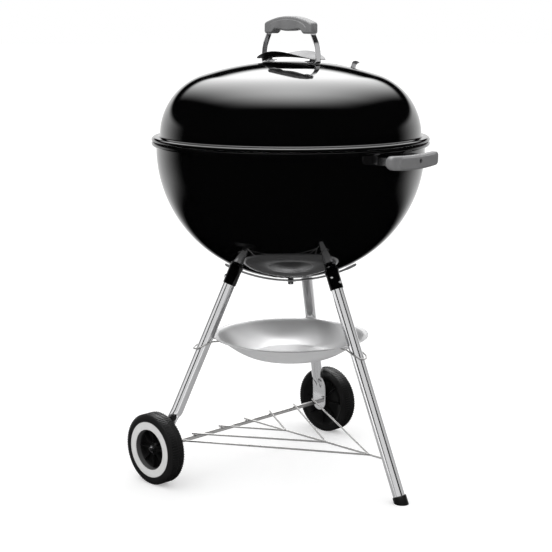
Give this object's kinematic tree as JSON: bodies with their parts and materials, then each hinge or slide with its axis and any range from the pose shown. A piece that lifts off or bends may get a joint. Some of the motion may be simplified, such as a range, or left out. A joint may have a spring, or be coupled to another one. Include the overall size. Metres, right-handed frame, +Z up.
{
  "type": "kettle charcoal grill",
  "caption": "Kettle charcoal grill: domed lid and bowl on splayed tubular legs, with wheels, ash pan, wire rack, grates, turning lid vent and sweeping ash damper.",
  "frame": {"origin": "on the ground straight under the kettle's axis", "axes": "+Z up; the cook stands at -Y, so +X is right, towards the footed leg; the wheels' axle runs along Y at the left"},
  "size_m": [0.6576, 0.573, 0.9616],
  "materials": {
    "enamel": "gloss black vitreous enamel on pressed steel",
    "grip_nylon": "mid-grey glass-filled nylon with a fine moulded grain",
    "bright_steel": "bright plated steel",
    "aluminium": "satin, spun and brushed",
    "plated_wire": "dull nickel plating",
    "black_plastic": "moulded black, slightly shiny on its edges",
    "white_plastic": "satin white"
  },
  "bodies": {
    "base": {"bowl_shell": "enamel", "leg_socket_right": "enamel", "leg_socket_back": "enamel", "leg_socket_front": "enamel", "side_handle_grip_left": "grip_nylon", "side_handle_grip_right": "grip_nylon", "leg_right": "bright_steel", "leg_back": "bright_steel", "leg_front": "bright_steel", "leg_screw_right": "bright_steel", "leg_screw_back": "bright_steel", "leg_screw_front": "bright_steel", "axle_cap_front": "bright_steel", "axle_cap_back": "bright_steel", "grate_bracket_1": "bright_steel", "grate_bracket_2": "bright_steel", "grate_bracket_3": "bright_steel", "grate_bracket_4": "bright_steel", "side_handle_bracket_left": "bright_steel", "side_handle_bracket_right": "bright_steel", "side_handle_screw_left": "bright_steel", "side_handle_screw_right": "bright_steel", "axle": "plated_wire", "wire_rack": "plated_wire", "ash_pan_clip_right": "plated_wire", "ash_pan_clip_back": "plated_wire", "ash_pan_clip_front": "plated_wire", "leg_cap": "black_plastic"},
    "lid": {"lid_shell": "enamel", "lid_handle_grip": "grip_nylon", "lid_handle_strap_left": "bright_steel", "lid_handle_strap_right": "bright_steel", "lid_handle_bolt_left": "bright_steel", "lid_handle_bolt_right": "bright_steel", "lid_handle_nut_left": "bright_steel", "lid_handle_nut_right": "bright_steel", "lid_heat_shield": "aluminium", "lid_hook": "bright_steel", "lid_damper_rivet": "bright_steel"},
    "lid_damper": {"lid_damper": "aluminium"},
    "sweeper": {"sweep_shaft": "bright_steel", "sweep_blade_1": "bright_steel", "sweep_blade_2": "bright_steel", "sweep_blade_3": "bright_steel", "sweep_lever": "aluminium", "cotter_pin": "bright_steel"},
    "wheel_front": {"wheel_front": "black_plastic", "whitewall_front": "white_plastic"},
    "wheel_back": {"wheel_back": "black_plastic", "whitewall_back": "white_plastic"},
    "cooking_grate": {"cooking_grate": "plated_wire"},
    "charcoal_grate": {"charcoal_grate": "plated_wire"},
    "ash_pan": {"ash_pan": "aluminium"}
  },
  "joints": [
    {"name": "lid_lift", "type": "slide", "parent": "base", "child": "lid", "axis": [0, 0, 1], "range_m": [0, 0.36]},
    {"name": "cooking_grate_lift", "type": "slide", "parent": "base", "child": "cooking_grate", "axis": [0, 0, 1], "range_m": [0, 0.27]},
    {"name": "charcoal_grate_lift", "type": "slide", "parent": "base", "child": "charcoal_grate", "axis": [0, 0, 1], "range_m": [0, 0.18]},
    {"name": "lid_damper_turn", "type": "hinge", "parent": "lid", "child": "lid_damper", "pos_m": [0, 0.13, 0.85653], "axis": [0, 0.2196, 0.9756], "range_deg": [0, 45]},
    {"name": "sweep_turn", "type": "hinge", "parent": "base", "child": "sweeper", "pos_m": [0, 0, 0.42], "axis": [0, 0, 1], "range_deg": [-32, 0]},
    {"name": "wheel_front_spin", "type": "hinge", "parent": "base", "child": "wheel_front", "pos_m": [-0.138, -0.2628, 0.075], "axis": [0, 1, 0], "continuous": true},
    {"name": "wheel_back_spin", "type": "hinge", "parent": "base", "child": "wheel_back", "pos_m": [-0.138, 0.2628, 0.075], "axis": [0, 1, 0], "continuous": true},
    {"name": "ash_pan_lift", "type": "slide", "parent": "base", "child": "ash_pan", "axis": [0, 0, 1], "range_m": [0, 0.006]}
  ],
  "couplings": [
    {"joint": "cooking_grate_lift", "follows": "lid_lift", "ratio": 0.75},
    {"joint": "charcoal_grate_lift", "follows": "lid_lift", "ratio": 0.5}
  ]
}
